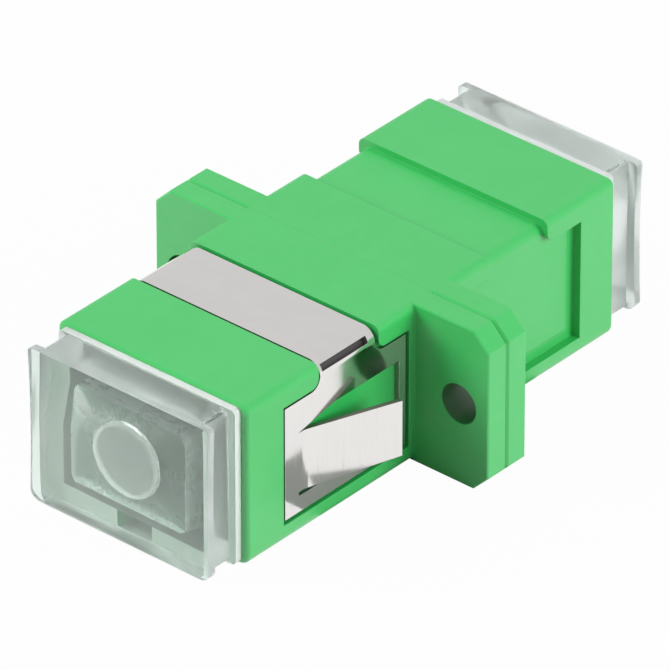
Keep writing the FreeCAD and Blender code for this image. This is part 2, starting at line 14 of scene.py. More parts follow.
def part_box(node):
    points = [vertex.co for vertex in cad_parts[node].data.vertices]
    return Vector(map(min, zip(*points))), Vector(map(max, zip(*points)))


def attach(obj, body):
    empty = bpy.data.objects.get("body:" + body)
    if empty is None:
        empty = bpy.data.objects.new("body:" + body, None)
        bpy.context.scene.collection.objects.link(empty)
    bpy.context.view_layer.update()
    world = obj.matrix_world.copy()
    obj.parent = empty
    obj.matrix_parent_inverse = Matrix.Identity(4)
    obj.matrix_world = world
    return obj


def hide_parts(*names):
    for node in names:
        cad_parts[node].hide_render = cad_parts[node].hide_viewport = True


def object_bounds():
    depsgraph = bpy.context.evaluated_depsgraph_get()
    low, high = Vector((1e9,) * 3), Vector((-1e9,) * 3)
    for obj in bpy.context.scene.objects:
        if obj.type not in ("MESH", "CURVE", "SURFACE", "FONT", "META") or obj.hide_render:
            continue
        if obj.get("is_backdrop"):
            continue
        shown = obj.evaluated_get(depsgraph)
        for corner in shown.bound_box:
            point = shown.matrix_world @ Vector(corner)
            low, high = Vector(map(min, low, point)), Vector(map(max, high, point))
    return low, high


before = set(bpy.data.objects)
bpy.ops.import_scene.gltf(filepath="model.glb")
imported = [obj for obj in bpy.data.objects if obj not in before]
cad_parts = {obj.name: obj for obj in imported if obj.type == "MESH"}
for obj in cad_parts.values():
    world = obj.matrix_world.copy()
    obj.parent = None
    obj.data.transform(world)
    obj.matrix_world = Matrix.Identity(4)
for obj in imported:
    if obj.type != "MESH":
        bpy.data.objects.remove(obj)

MM = 0.001
TOUCH = 0.01  # millimetres within which two places count as the same
SQUARE = 0.99  # a face is square to an axis where its normal's part along the axis is above this
NEARLY_SQUARE = 0.95  # the same, with the first facet of a softened edge counted in
NO_BOUNCE = 0.5  # a ray's depth is 0 where it is below this
WHITE = (1, 1, 1, 1)
LOG = logging.getLogger("adapter")

Colour = tuple[float, float, float, float]
Point = tuple[float, float, float]
Socket = bpy.types.NodeSocket


# ---------------------------------------------------------------- node trees


class Graph:
    """One node tree while it is being wired."""

    def __init__(self, tree: bpy.types.NodeTree) -> None:
        """Start from an empty tree.

        Args:
            tree: the tree that receives the nodes.
        """
        self.tree = tree
        tree.nodes.clear()

    def add(self, kind: str, sockets: dict | None = None, **settings: object) -> bpy.types.Node:
        """Add a node, set its properties and fill its inputs.

        Args:
            kind: the node's type.
            sockets: for each input, by name or index, a value or the output that feeds it.
            **settings: properties of the node itself.

        Returns:
            The new node.
        """
        node = self.tree.nodes.new(kind)
        for name, value in settings.items():
            setattr(node, name, value)
        for name, value in (sockets or {}).items():
            if isinstance(value, bpy.types.NodeSocket):
                self.tree.links.new(value, node.inputs[name])
            else:
                node.inputs[name].default_value = value
        return node

    def feed(self, node: bpy.types.Node, **outputs: Socket) -> None:
        """Link outputs to a node's inputs.

        Args:
            node: the node that takes them.
            **outputs: for each input, by name, the output that feeds it.
        """
        for name, output in outputs.items():
            self.tree.links.new(output, node.inputs[name])

    def maths(
        self, operation: str, first: Socket | float, second: Socket | float, clamp: bool = False
    ) -> Socket:
        """Combine two numbers.

        Args:
            operation: a Math node's operation, such as "SUBTRACT".
            first: the first number or the output that gives it.
            second: the second number or the output that gives it.
            clamp: whether the result is kept between 0 and 1.

        Returns:
            The output that holds the result.
        """
        node = self.add("ShaderNodeMath", {0: first, 1: second}, operation=operation, use_clamp=clamp)
        return node.outputs[0]

    def times(self, first: Socket | float, second: Socket | float, clamp: bool = False) -> Socket:
        """Multiply two numbers."""
        return self.maths("MULTIPLY", first, second, clamp)

    def larger(self, first: Socket, second: Socket) -> Socket:
        """Give the larger of two numbers."""
        return self.maths("MAXIMUM", first, second)

    def above(self, value: Socket, limit: float) -> Socket:
        """Give 1 where a value lies above a limit, and 0 elsewhere."""
        return self.maths("GREATER_THAN", value, limit)

    def below(self, value: Socket, limit: float) -> Socket:
        """Give 1 where a value lies below a limit, and 0 elsewhere."""
        return self.maths("LESS_THAN", value, limit)

    def unsigned(self, value: Socket) -> Socket:
        """Give a value without its sign."""
        return self.maths("ABSOLUTE", value, 0.0)

    def weigh(self, first: tuple[Socket, float], second: tuple[Socket, float], clamp: bool = False) -> Socket:
        """Add two outputs, each times its weight.

        Args:
            first: the first output and its weight.
            second: the second output and its weight.
            clamp: whether the result is kept between 0 and 1.

        Returns:
            The output that holds the result.
        """
        return self.maths("ADD", self.times(*first), self.times(*second), clamp)

    def spread(self, value: Socket, low: float, high: float, start: float = 0.0, end: float = 1.0) -> Socket:
        """Stretch a value from one range onto another, and keep it there.

        Args:
            value: the output that gives it.
            low: the value that becomes start.
            high: the value that becomes end.
            start: the result's first limit.
            end: the result's other limit.

        Returns:
            The output that holds the result.
        """
        limits = {"From Min": low, "From Max": high, "To Min": start, "To Max": end}
        return self.add("ShaderNodeMapRange", {"Value": value, **limits}).outputs["Result"]

    def tint(self, share: Socket, first: Socket | Colour, second: Socket | Colour) -> Socket:
        """Go from the first colour to the second as share goes from 0 to 1."""
        return self.add("ShaderNodeMix", {0: share, 6: first, 7: second}, data_type="RGBA").outputs[2]

    def noise(
        self, place: Socket, scale: float | Socket, detail: float = 2.0, roughness: float = 0.5
    ) -> Socket:
        """Make a smooth random pattern between 0 and 1.

        Args:
            place: the output that gives the point.
            scale: how many features lie in a metre.
            detail: how many times finer features are laid over it.
            roughness: how strong each finer layer is.

        Returns:
            The output that holds the pattern.
        """
        sockets = {"Vector": place, "Scale": scale, "Detail": detail, "Roughness": roughness}
        return self.add("ShaderNodeTexNoise", sockets).outputs["Fac"]

    def place(self, stretch: Point = (1, 1, 1)) -> Socket:
        """Give the point on the piece, stretched along each axis."""
        where = self.add("ShaderNodeTexCoord").outputs["Object"]
        return self.add("ShaderNodeMapping", {"Vector": where, "Scale": stretch}).outputs["Vector"]

    def split(self, vector: Socket) -> bpy.types.NodeOutputs:
        """Give a vector's X, Y and Z."""
        return self.add("ShaderNodeSeparateXYZ", {0: vector}).outputs

    def bump(self, height: Socket, depth: float, normal: Socket | None = None) -> Socket:
        """Turn heights over the surface into a normal.

        Args:
            height: the output that gives the height, about 0 to 1.
            depth: how far a height of 1 stands up, in millimetres.
            normal: the normal that it starts from, or None for the mesh's own.

        Returns:
            The output that holds the normal.
        """
        node = self.add("ShaderNodeBump", {"Strength": 1.0, "Distance": depth * MM, "Height": height})
        if normal is not None:
            self.feed(node, Normal=normal)
        return node.outputs["Normal"]


class MaterialGraph(Graph):
    """The node tree of a new material."""

    def __init__(self, name: str) -> None:
        """Start an empty material.

        Args:
            name: the material's name.
        """
        self.made = bpy.data.materials.new(name)
        self.made.use_nodes = True
        super().__init__(self.made.node_tree)

    def close(self, shader: Socket) -> bpy.types.Material:
        """Link the shader of the whole surface to the output, and give the finished material."""
        self.add("ShaderNodeOutputMaterial", {"Surface": shader})
        return self.made


def new_group(
    name: str, takes: dict[str, float], gives: dict[str, str]
) -> tuple[Graph, dict[str, Socket], bpy.types.Node]:
    """Make an empty shader group with named number inputs and outputs.

    Args:
        name: the group's name.
        takes: each input's name and usual value.
        gives: each output's name and kind, "Float" or "Vector".

    Returns:
        The graph to wire, the group's inputs by name, and the node that takes its outputs.
    """
    tree = bpy.data.node_groups.new(name, "ShaderNodeTree")
    graph = Graph(tree)
    for label, usual in takes.items():
        socket = tree.interface.new_socket(label, in_out="INPUT", socket_type="NodeSocketFloat")
        socket.default_value = usual
    for label, kind in gives.items():
        tree.interface.new_socket(label, in_out="OUTPUT", socket_type=f"NodeSocket{kind}")
    entry = graph.add("NodeGroupInput")
    return graph, {label: entry.outputs[label] for label in takes}, graph.add("NodeGroupOutput")


@cache
def soft_edges() -> bpy.types.NodeTree:
    """Rounded edges: a mask of the edges and a normal that turns softly round them.

    Returns:
        The group, which takes Radius and Gain, and gives Mask and Normal.
    """
    usual = {"Radius": 0.0001, "Gain": 2.0}
    graph, takes, gives = new_group("soft_edges", usual, {"Mask": "Float", "Normal": "Vector"})
    rounded = graph.add("ShaderNodeBevel", {"Radius": takes["Radius"]}, samples=6).outputs["Normal"]
    plain = graph.add("ShaderNodeNewGeometry").outputs["Normal"]
    alike = graph.add("ShaderNodeVectorMath", {0: rounded, 1: plain}, operation="DOT_PRODUCT").outputs
    turned = graph.maths("SUBTRACT", 1.0, alike["Value"])
    graph.feed(gives, Mask=graph.times(turned, takes["Gain"], clamp=True), Normal=rounded)
    return graph.tree


@cache
def moulded_skin() -> bpy.types.NodeTree:
    """The skin of an injection moulding: fine spark texture, slow mottling and flow streaks.

    Returns:
        The group, which takes Fineness, and gives Height, Tone and Polish.
    """
    outputs = {"Height": "Float", "Tone": "Float", "Polish": "Float"}
    graph, takes, gives = new_group("moulded_skin", {"Fineness": 9000.0}, outputs)
    place = graph.place()
    spark = graph.noise(place, takes["Fineness"], detail=3.0, roughness=0.6)
    ripple = graph.noise(place, scale=700.0)
    mottle = graph.noise(place, scale=240.0, detail=3.0, roughness=0.55)
    streak = graph.noise(graph.place(stretch=(1.0, 0.18, 1.0)), scale=900.0)
    polish = graph.noise(place, scale=1500.0, detail=4.0, roughness=0.7)
    graph.feed(
        gives,
        Height=graph.weigh((spark, 0.6), (ripple, 0.9)),
        Tone=graph.spread(graph.weigh((mottle, 0.65), (streak, 0.35)), low=0.34, high=0.66),
        Polish=graph.spread(polish, low=0.3, high=0.7),
    )
    return graph.tree


@cache
def rolled_skin() -> bpy.types.NodeTree:
    """The skin of rolled spring strip: fine lines along the strip, faint clouding and stray scratches.

    Returns:
        The group, which takes Lines, and gives Height, Tone and Scratch.
    """
    outputs = {"Height": "Float", "Tone": "Float", "Scratch": "Float"}
    graph, takes, gives = new_group("rolled_skin", {"Lines": 16000.0}, outputs)
    lines = graph.noise(graph.place(stretch=(0.02, 1.0, 0.02)), takes["Lines"], detail=4.0, roughness=0.65)
    cloud = graph.noise(graph.place(stretch=(1.0, 1.6, 1.0)), scale=420.0, detail=3.0, roughness=0.6)
    stray = graph.noise(graph.place(stretch=(0.06, 1.0, 0.09)), scale=3800.0, roughness=0.4)
    scratch = graph.spread(stray, low=0.63, high=0.70)
    graph.feed(
        gives,
        Height=graph.weigh((lines, 1.0), (scratch, -0.8)),
        Tone=graph.spread(graph.weigh((lines, 0.5), (cloud, 0.5)), low=0.36, high=0.64),
        Scratch=scratch,
    )
    return graph.tree


@cache
def clear_skin() -> bpy.types.NodeTree:
    """The skin of a clear moulding: gentle waves, handling marks and a haze of tiny scuffs.

    Returns:
        The group, which takes Waves, and gives Height and Haze.
    """
    graph, takes, gives = new_group("clear_skin", {"Waves": 420.0}, {"Height": "Float", "Haze": "Float"})
    place = graph.place()
    waves = graph.noise(place, takes["Waves"], detail=1.5, roughness=0.4)
    upright = graph.place(stretch=(1.0, 1.0, 0.35))
    scuffs = graph.spread(graph.noise(upright, scale=5200.0, detail=3.0, roughness=0.7), low=0.55, high=0.8)
    smudge = graph.spread(graph.noise(place, scale=520.0, detail=3.0, roughness=0.6), low=0.42, high=0.7)
    graph.feed(
        gives,
        Height=graph.weigh((waves, 1.0), (scuffs, 0.05)),
        Haze=graph.weigh((smudge, 0.6), (scuffs, 0.5), clamp=True),
    )
    return graph.tree


# ---------------------------------------------------------------- finishes


@dataclass(frozen=True)
class PaintedShade:
    """A covered place, alike left and right, painted dark as painted shade. Its corners are in millimetres.
    """

    low: Point
    high: Point
    shade_colour: Colour

    def mask(self, graph: Graph) -> Socket:
        """Give 1 inside the place and 0 outside.

        Args:
            graph: the graph of the material that shows it.

        Returns:
            The output that holds the mask.
        """
        where = graph.split(graph.place())
        distances = (graph.unsigned(where["X"]), where["Y"], where["Z"])
        inside = None
        for distance, low, high in zip(distances, self.low, self.high):
            span = graph.times(graph.above(distance, low * MM), graph.below(distance, high * MM))
            inside = span if inside is None else graph.times(inside, span)
        return inside


@dataclass(frozen=True)
class MouldedPlastic:
    """An opaque moulding with a fine skin, satin or polished, its edges painted lighter as a painted
    highlight and its covered places painted dark as painted shade. Its depths and radii are in millimetres.
    """

    name: str
    colour: Colour
    shade: Colour
    # painted highlight: the lighter colour painted along the rounded edges
    edge: Colour
    roughness: tuple[float, float]
    grain_depth: float
    fineness: float
    edge_radius: float
    scatter: float
    gloss: float = 0.3
    # covered places painted dark: painted shade
    painted_shades: tuple[PaintedShade, ...] = ()
    edge_gain: float = 2.4
    scatter_reach: Point = (0.25, 0.4, 0.25)

    def material(self) -> bpy.types.Material:
        """Build the finish.

        Returns:
            The finished material.
        """
        graph = MaterialGraph(self.name)
        skin = graph.add("ShaderNodeGroup", {"Fineness": self.fineness}, node_tree=moulded_skin()).outputs
        rounding = {"Radius": self.edge_radius * MM, "Gain": self.edge_gain}
        edges = graph.add("ShaderNodeGroup", rounding, node_tree=soft_edges()).outputs
        # the edges are painted lighter: a painted highlight
        tone = graph.tint(edges["Mask"], graph.tint(skin["Tone"], self.shade, self.colour), self.edge)
        # paint each covered place dark over the tone: painted shade
        for shade_place in self.painted_shades:
            tone = graph.tint(shade_place.mask(graph), tone, shade_place.shade_colour)
        shader = graph.add(
            "ShaderNodeBsdfPrincipled",
            {
                "Base Color": tone,
                "Roughness": graph.spread(skin["Polish"], 0.0, 1.0, *self.roughness),
                "IOR": 1.5,
                "Specular IOR Level": 1.0,
                "Coat Weight": 1.0,
                "Coat Roughness": self.gloss,
                "Coat IOR": 1.6,
                "Subsurface Weight": self.scatter,
                "Subsurface Radius": [reach * MM for reach in self.scatter_reach],
                "Subsurface Scale": 1.0,
                "Normal": graph.bump(skin["Height"], self.grain_depth, edges["Normal"]),
            },
        )
        return graph.close(shader.outputs["BSDF"])


@dataclass(frozen=True)
class RolledSteel:
    """Bright rolled spring steel with duller sheared edges, which are also painted dark as painted shade. Its
    depths and levels are in millimetres.
    """

    name: str
    colour: Colour
    shade: Colour
    sheared_and_shaded: Colour
    roughness: tuple[float, float]
    line_depth: float
    edge_radius: float
    bend_level: float
    edge_gain: float = 1.6
    tone_weight: float = 0.6
    sheared_roughness: float = 0.45
    end_facing: float = 0.8
    side_facing: float = 0.25

    def material(self) -> bpy.types.Material:
        """Build the finish.

        Returns:
            The finished material.
        """
        graph = MaterialGraph(self.name)
        skin = graph.add("ShaderNodeGroup", node_tree=rolled_skin()).outputs
        rounding = {"Radius": self.edge_radius * MM, "Gain": self.edge_gain}
        edges = graph.add("ShaderNodeGroup", rounding, node_tree=soft_edges()).outputs
        polish = graph.weigh((skin["Tone"], self.tone_weight), (skin["Scratch"], 1.0), clamp=True)
        # the sheared edges are painted dark: partly their duller finish, partly painted shade
        cut = self.sheared_edges(graph)
        rolled = graph.tint(skin["Tone"], self.shade, self.colour)
        dull = graph.times(cut, self.sheared_roughness)
        shader = graph.add(
            "ShaderNodeBsdfPrincipled",
            {
                "Base Color": graph.tint(cut, rolled, self.sheared_and_shaded),
                "Metallic": 1.0,
                "Roughness": graph.larger(graph.spread(polish, 0.0, 1.0, *self.roughness), dull),
                "Normal": graph.bump(skin["Height"], self.line_depth, edges["Normal"]),
            },
        )
        return graph.close(shader.outputs["BSDF"])

    def sheared_edges(self, graph: Graph) -> Socket:
        """Mask the edges cut across the sheet, which face along the axis or, below the bends, up and down.

        Args:
            graph: the graph of the material.

        Returns:
            The output that holds the mask.
        """
        facing = graph.split(graph.add("ShaderNodeNewGeometry").outputs["True Normal"])
        along = graph.above(graph.unsigned(facing["Y"]), self.end_facing)
        upright = graph.below(graph.unsigned(facing["X"]), self.side_facing)
        under_bends = graph.below(graph.split(graph.place())["Z"], self.bend_level * MM)
        return graph.larger(along, graph.times(upright, under_bends))


@dataclass(frozen=True)
class ClearPlastic:
    """A clear, faintly cloudy moulding, duller where cores form it. Its lengths are in millimetres."""

    name: str
    colour: Colour
    clarity: float
    roughness: tuple[float, float]
    wave_depth: float
    core_roughness: float
    core_side: float = 3.9
    core_top: float = 3.1
    core_end: float = 16.3
    bearing: float = 14.25

    def material(self) -> bpy.types.Material:
        """Build the finish.

        Returns:
            The finished material.
        """
        graph = MaterialGraph(self.name)
        skin = graph.add("ShaderNodeGroup", node_tree=clear_skin()).outputs
        polish = graph.spread(skin["Haze"], 0.0, 1.0, *self.roughness)
        shader = graph.add(
            "ShaderNodeBsdfPrincipled",
            {
                "Base Color": self.colour,
                "Roughness": graph.weigh((polish, 1.0), (self.cores(graph), self.core_roughness)),
                "IOR": 1.49,
                "Transmission Weight": self.clarity,
                "Normal": graph.bump(skin["Height"], self.wave_depth),
            },
        )
        return graph.close(shader.outputs["BSDF"])

    def cores(self, graph: Graph) -> Socket:
        """Mask the surfaces that the mould's cores form: the hollow, and all that lies inside the port.

        Args:
            graph: the graph of the material.

        Returns:
            The output that holds the mask.
        """
        where = graph.split(graph.place())
        out = graph.unsigned(where["Y"])
        across = graph.below(graph.unsigned(where["X"]), self.core_side * MM)
        up = graph.below(graph.unsigned(where["Z"]), self.core_top * MM)
        hollow = graph.times(across, graph.times(up, graph.below(out, self.core_end * MM)))
        return graph.larger(hollow, graph.below(out, self.bearing * MM))


class Finish(Enum):
    """The finishes of the adapter's pieces."""

    HOUSING = MouldedPlastic(
        name="green_housing",
        colour=(0.033, 0.540, 0.110, 1),
        shade=(0.027, 0.512, 0.100, 1),
        edge=(0.130, 0.670, 0.230, 1),
        roughness=(0.44, 0.55),
        grain_depth=0.004,
        fineness=8500.0,
        edge_radius=0.09,
        scatter=0.0,
        gloss=0.5,
        # painted shade: the gap under the clip's bends and the screw holes painted dark
        painted_shades=(
            PaintedShade((5.0, -8.55, 3.6), (6.4, -4.95, 4.6), (0.012, 0.008, 0.010, 1)),  # under the clip's bends
            PaintedShade((8.05, -1.4, -1.2), (10.45, 1.4, 1.2), (0.002, 0.16, 0.020, 1)),  # the screw holes
        ),
    )
    HOLDER = MouldedPlastic(
        name="natural_holder",
        colour=(0.66, 0.68, 0.61, 1),
        shade=(0.60, 0.62, 0.55, 1),
        edge=(0.74, 0.76, 0.70, 1),
        roughness=(0.36, 0.5),
        grain_depth=0.003,
        fineness=7000.0,
        edge_radius=0.08,
        scatter=0.15,
    )
    SLEEVE = MouldedPlastic(
        name="polished_zirconia",
        colour=(0.88, 0.87, 0.83, 1),
        shade=(0.84, 0.83, 0.78, 1),
        edge=(0.92, 0.91, 0.88, 1),
        roughness=(0.1, 0.18),
        grain_depth=0.0008,
        fineness=16000.0,
        edge_radius=0.04,
        scatter=0.1,
    )
    CLIP = RolledSteel(
        name="rolled_spring_steel",
        colour=(0.85, 0.83, 0.81, 1),
        shade=(0.81, 0.79, 0.775, 1),
        # sheared edges painted dark: partly their dull finish, partly painted shade
        sheared_and_shaded=(0.34, 0.32, 0.30, 1),
        roughness=(0.07, 0.18),
        line_depth=0.0003,
        edge_radius=0.03,
        bend_level=3.7,
    )
    CAP = ClearPlastic("clear_cap_plastic", (0.84, 0.96, 0.895, 1), 0.90, (0.04, 0.16), 0.008, 0.22)
    CAP_HAZE = ClearPlastic("hazy_cap_plastic", (0.91, 0.96, 0.94, 1), 0.83, (0.28, 0.36), 0.0, 0.0)
    CAP_EYE = ClearPlastic("matt_eye_plastic", (0.92, 0.97, 0.945, 1), 0.66, (0.28, 0.36), 0.0, 0.0)
    CAP_RIM = ClearPlastic("frosted_cap_plastic", (0.94, 0.975, 0.955, 1), 0.38, (0.28, 0.36), 0.0, 0.0)

    @cache
    def material(self) -> bpy.types.Material:
        """Build this finish once."""
        return self.value.material()


@dataclass(frozen=True)
class SolidPieces:
    """Pieces that keep their own solids and share one finish."""

    nodes: tuple[str, ...]
    finish: Finish

    def make(self) -> None:
        """Put the finish on each piece."""
        for node in self.nodes:
            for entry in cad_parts[node].material_slots:
                entry.material = self.finish.material()
            LOG.info("%s: %s", node, self.finish.material().name)


# ---------------------------------------------------------------- modelling by hand


def start_selection(kind: str) -> None:
    """Deselect all of the mesh being edited, and leave its edit mode set for one kind of element.

    Args:
        kind: "VERT", "EDGE" or "FACE".
    """
    bpy.ops.object.mode_set(mode="EDIT")
    bpy.ops.mesh.select_mode(type=kind)
    bpy.ops.mesh.select_all(action="DESELECT")
    bpy.ops.object.mode_set(mode="OBJECT")


def select_faces(piece: bpy.types.Object, wanted: Callable[[Vector, Vector], bool]) -> None:
    """Select the faces whose centre and normal satisfy a test, and stay in edit mode.

    Args:
        piece: the mesh being edited.
        wanted: takes a face's centre in millimetres and its normal.
    """
    start_selection("FACE")
    for face in piece.data.polygons:
        face.select = wanted(face.center / MM, face.normal)
    bpy.ops.object.mode_set(mode="EDIT")


def select_edges(piece: bpy.types.Object, wanted: Callable[[Vector, Vector], bool]) -> None:
    """Select the edges whose two ends satisfy a test, and stay in edit mode.

    Args:
        piece: the mesh being edited.
        wanted: takes the two ends in millimetres.
    """
    start_selection("EDGE")
    points = [vertex.co / MM for vertex in piece.data.vertices]
    for edge in piece.data.edges:
        first, second = (points[index] for index in edge.vertices)
        edge.select = wanted(first, second)
    bpy.ops.object.mode_set(mode="EDIT")


def select_points(piece: bpy.types.Object, wanted: Callable[[Vector], bool]) -> None:
    """Select the vertices that satisfy a test, and stay in edit mode.

    Args:
        piece: the mesh being edited.
        wanted: takes a vertex in millimetres.
    """
    start_selection("VERT")
    for vertex in piece.data.vertices:
        vertex.select = wanted(vertex.co / MM)
    bpy.ops.object.mode_set(mode="EDIT")


def only(piece: bpy.types.Object) -> None:
    """Make a piece the one selected and active object.

    Args:
        piece: the object.
    """
    bpy.ops.object.select_all(action="DESELECT")
    piece.select_set(True)
    bpy.context.view_layer.objects.active = piece


def near(first: float, second: float) -> bool:
    """Tell whether two places along an axis are the same, in millimetres."""
    return abs(first - second) < TOUCH


def lengthwise(first: Vector, second: Vector) -> bool:
    """Tell whether an edge runs along the adapter's axis, in millimetres."""
    return near(first.x, second.x) and not near(first.y, second.y)


class Step(Enum):
    """What a block does to the cap."""

    ADD = "UNION"
    CUT = "DIFFERENCE"


class Side(Enum):
    """An end of the adapter."""

    FRONT = "front"
    REAR = "rear"


@dataclass
class DustCap:
    """A clear push-in dust cap: front plate, neck, collar and hollow plug. Sizes are in millimetres."""

    front: float
    plate: float = 0.45
    plate_width: float = 12.1
    plate_height: float = 9.05
    upper_corner: float = 0.3
    lower_corner: float = 0.65
    waist: float = 0.12
    waist_rows: int = 11
    neck: float = 1.7
    neck_width: float = 10.9
    neck_corner: float = 0.3
    collar: float = 0.43
    collar_width: float = 11.8
    collar_height: float = 9.2
    collar_corner: float = 0.3
    plug: float = 5.02
    plug_width: float = 8.97
    plug_height: float = 7.37
    wall: float = 0.8
    hollow_corner: float = 0.4
    corner_segments: int = 6
    eye: float = 4.2
    eye_facets: int = 96
    head: float = 1.6
    eye_depth: float = 0.45
    eye_border: float = 0.22
    key_width: float = 2.2
    edge: float = 0.07
    edge_segments: int = 3
    weld: float = 0.0005
    flat_angle: float = math.radians(0.1)
    smooth_angle: float = math.radians(30)
    sharp_angle: float = math.radians(40)

    @property
    def plate_end(self) -> float:
        """Where the front plate ends along the axis."""
        return self.front + self.plate

    @property
    def neck_end(self) -> float:
        """Where the neck ends along the axis."""
        return self.plate_end + self.neck

    @property
    def bearing(self) -> float:
        """Where the collar bears on the housing."""
        return self.neck_end + self.collar

    @property
    def plug_end(self) -> float:
        """Where the plug ends along the axis."""
        return self.bearing + self.plug

    @property
    def eye_floor(self) -> float:
        """Where the floor of the round eye lies along the axis."""
        return self.front + self.head - self.eye_depth

    def build(self) -> bpy.types.Object:
        """Model the cap for the front port.

        Returns:
            The cap, its place in its mesh.
        """
        rounding = (self.upper_corner, self.lower_corner)
        cap = self.block(self.front, self.plate_end, self.plate_width, self.plate_height, *rounding)
        self.draw_in_waist(cap)
        inside = self.front + self.plate / 2
        in_collar = self.neck_end + self.collar / 2
        for start, end, width, height, corner in (
            (inside, in_collar, self.neck_width, self.plate_height, self.neck_corner),
            (self.neck_end, self.bearing, self.collar_width, self.collar_height, self.collar_corner),
            (inside, self.plug_end, self.plug_width, self.plug_height, 0.0),
        ):
            self.work(cap, self.block(start, end, width, height, corner, corner), Step.ADD)
        self.work(cap, self.hollow(), Step.CUT)
        self.work(cap, self.eye_plug(), Step.CUT)
        self.finish_edges(cap)
        self.part_bearing_face(cap)
        self.border_eye(cap)
        self.dress(cap)
        return cap

    def block(
        self, start: float, end: float, width: float, height: float, upper_corner: float, lower_corner: float
    ) -> bpy.types.Object:
        """Shape a block across the axis, with its corners rounded.

        Args:
            start: where it starts along the axis.
            end: where it ends along the axis.
            width: its width.
            height: its height.
            upper_corner: the rounding of its two upper corners, or 0.
            lower_corner: the rounding of its two lower corners, or 0.

        Returns:
            The block.
        """
        bpy.ops.object.select_all(action="DESELECT")
        bpy.ops.mesh.primitive_cube_add(size=1, location=(0, (start + end) / 2 * MM, 0))
        block = bpy.context.object
        block.scale = (width * MM, (end - start) * MM, height * MM)
        bpy.ops.object.transform_apply(location=True, scale=True)
        for radius, level in ((upper_corner, height / 2), (lower_corner, -height / 2)):
            if radius:
                select_edges(block, lambda a, b: near(a.z, level) and near(b.z, level) and lengthwise(a, b))
                bpy.ops.mesh.bevel(offset=radius * MM, segments=self.corner_segments, affect="EDGES")
                bpy.ops.object.mode_set(mode="OBJECT")
        return block

    def hollow(self) -> bpy.types.Object:
        """Shape the hollow of the plug.

        Returns:
            The block that cuts it, which reaches past the plug's open end.
        """
        start = self.front + self.head
        end = self.plug_end + self.plate
        width = self.plug_width - 2 * self.wall
        height = self.plug_height - 2 * self.wall
        return self.block(start, end, width, height, self.hollow_corner, self.hollow_corner)

    def eye_plug(self) -> bpy.types.Object:
        """Shape the round recess in the end of the plug's hollow.

        Returns:
            The cylinder that cuts it.
        """
        bpy.ops.object.select_all(action="DESELECT")
        bpy.ops.mesh.primitive_cylinder_add(
            vertices=self.eye_facets,
            radius=self.eye / 2 * MM,
            depth=2 * self.eye_depth * MM,
            location=(0, (self.front + self.head) * MM, 0),
            rotation=(math.pi / 2, 0, 0),
        )
        bpy.ops.object.transform_apply(location=True, rotation=True)
        return bpy.context.object

    def work(self, cap: bpy.types.Object, tool: bpy.types.Object, kind: Step) -> None:
        """Add a block to the cap or cut it away.

        Args:
            cap: the cap so far.
            tool: the block, which is used up.
            kind: what the block does.
        """
        only(cap)
        step = cap.modifiers.new("step", "BOOLEAN")
        step.operation = kind.value
        step.solver = "EXACT"
        step.object = tool
        bpy.ops.object.modifier_apply(modifier=step.name)
        bpy.data.objects.remove(tool)

    def draw_in_waist(self, cap: bpy.types.Object) -> None:
        """Draw the front plate's side edges in along a shallow arc.

        Args:
            cap: the cap, which is only its front plate so far.
        """
        half = self.plate_height / 2
        side = self.plate_width / 2
        select_edges(cap, lambda a, b: near(abs(a.x), side) and near(a.x, b.x) and near(a.y, b.y))
        bpy.ops.mesh.subdivide(number_cuts=self.waist_rows)
        bpy.ops.object.mode_set(mode="OBJECT")
        radius = (half**2 + self.waist**2) / (2 * self.waist)
        levels = sorted({round(v.co.z / MM, 3) for v in cap.data.vertices if near(abs(v.co.x / MM), side)})
        for level in levels:
            drawn = self.waist - (radius - math.sqrt(radius**2 - level**2))
            select_points(cap, lambda p: near(abs(p.x), side) and near(p.z, level))
            bpy.ops.transform.resize(value=((side - drawn) / side, 1, 1), center_override=(0, 0, 0))
        bpy.ops.object.mode_set(mode="OBJECT")

    def finish_edges(self, cap: bpy.types.Object) -> None:
        """Soften every edge, as a moulding tool does, and shade the faces.

        Args:
            cap: the cap.
        """
        only(cap)
        bpy.ops.object.mode_set(mode="EDIT")
        bpy.ops.mesh.select_all(action="SELECT")
        bpy.ops.mesh.dissolve_limited(angle_limit=self.flat_angle)
        bpy.ops.object.mode_set(mode="OBJECT")
        soften = cap.modifiers.new("edges", "BEVEL")
        soften.width = self.edge * MM
        soften.segments = self.edge_segments
        soften.limit_method = "ANGLE"
        soften.angle_limit = self.sharp_angle
        soften.harden_normals = True
        bpy.ops.object.modifier_apply(modifier=soften.name)
        bpy.ops.object.mode_set(mode="EDIT")
        bpy.ops.mesh.select_all(action="SELECT")
        bpy.ops.mesh.remove_doubles(threshold=self.weld * MM)
        bpy.ops.mesh.delete_loose()
        bpy.ops.mesh.normals_make_consistent(inside=False)
        bpy.ops.object.mode_set(mode="OBJECT")
        bpy.ops.object.shade_smooth_by_angle(angle=self.smooth_angle)

    def part_bearing_face(self, cap: bpy.types.Object) -> None:
        """Part the collar's bearing face at the keyway's two sides.

        Args:
            cap: the cap.
        """
        for side in (-1, 1):
            select_faces(cap, lambda centre, normal: near(centre.y, self.bearing) and normal.y > SQUARE)
            bpy.ops.mesh.bisect(plane_co=(side * self.key_width / 2 * MM, 0, 0), plane_no=(1, 0, 0))
            bpy.ops.object.mode_set(mode="OBJECT")

    def border_eye(self, cap: bpy.types.Object) -> None:
        """Part a border from the eye's floor.

        Args:
            cap: the cap.
        """
        select_faces(cap, lambda centre, normal: near(centre.y, self.eye_floor) and normal.y > SQUARE)
        bpy.ops.mesh.inset(thickness=self.eye_border * MM)
        bpy.ops.object.mode_set(mode="OBJECT")

